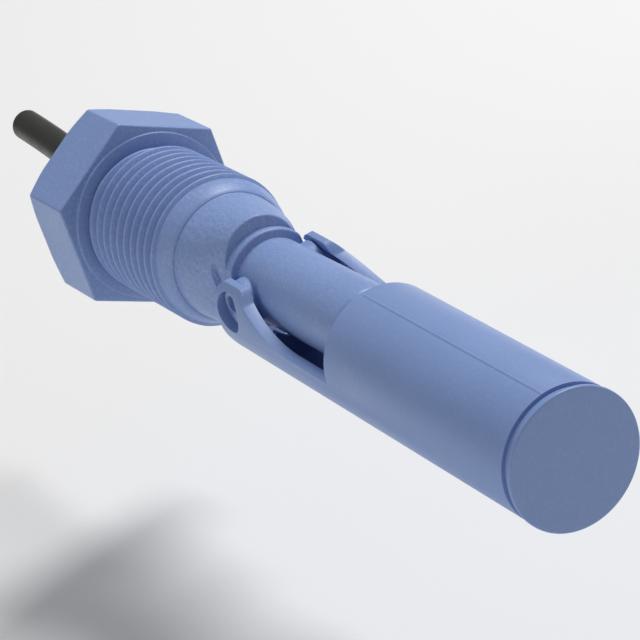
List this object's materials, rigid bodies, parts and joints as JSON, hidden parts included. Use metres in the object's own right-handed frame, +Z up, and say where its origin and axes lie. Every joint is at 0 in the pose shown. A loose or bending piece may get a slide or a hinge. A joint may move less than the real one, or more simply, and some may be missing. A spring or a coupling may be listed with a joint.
{
  "type": "float level switch",
  "caption": "Side-mounted liquid level switch: a hexagonal head and threaded stem with a reed switch inside, and a hinged cylindrical float with a magnet.",
  "frame": {"origin": "on the thread's axis, at the face of the raised seating ring in front of the hexagon", "axes": "+X along the thread towards the float, +Z up, hinge pins along Y"},
  "size_m": [0.1443, 0.024, 0.0278],
  "materials": {
    "blue_plastic": "satin moulded polypropylene",
    "magnet": "dark sintered ferrite",
    "black_jacket": "smooth black sheath",
    "resin": "black potting resin",
    "copper": "bright drawn wire",
    "brown_insulation": "smooth",
    "blue_insulation": "smooth",
    "solder": "bright",
    "black_sleeve": "satin",
    "clear_sleeve": "translucent",
    "glass": "clear green-tinted",
    "blade": "plated"
  },
  "bodies": {
    "stem": {"switch_body": "blue_plastic", "potting_resin": "resin", "cable_jacket": "black_jacket", "copper_core_feed": "copper", "copper_core_return": "copper", "wire_insulation_feed": "brown_insulation", "wire_insulation_return": "blue_insulation", "solder_joint_feed": "solder", "solder_joint_return": "solder", "shrink_sleeve": "black_sleeve", "reed_sleeve": "clear_sleeve", "reed_glass": "glass", "reed_blade_rear": "blade", "reed_blade_tip": "blade"},
    "float": {"float_shell": "blue_plastic", "float_end_cap": "blue_plastic", "float_magnet": "magnet"}
  },
  "joints": [
    {"name": "float_hinge", "type": "hinge", "parent": "stem", "child": "float", "pos_m": [0.0356, 0, 0], "axis": [0, 1, 0], "range_deg": [-1.9, 30]}
  ]
}
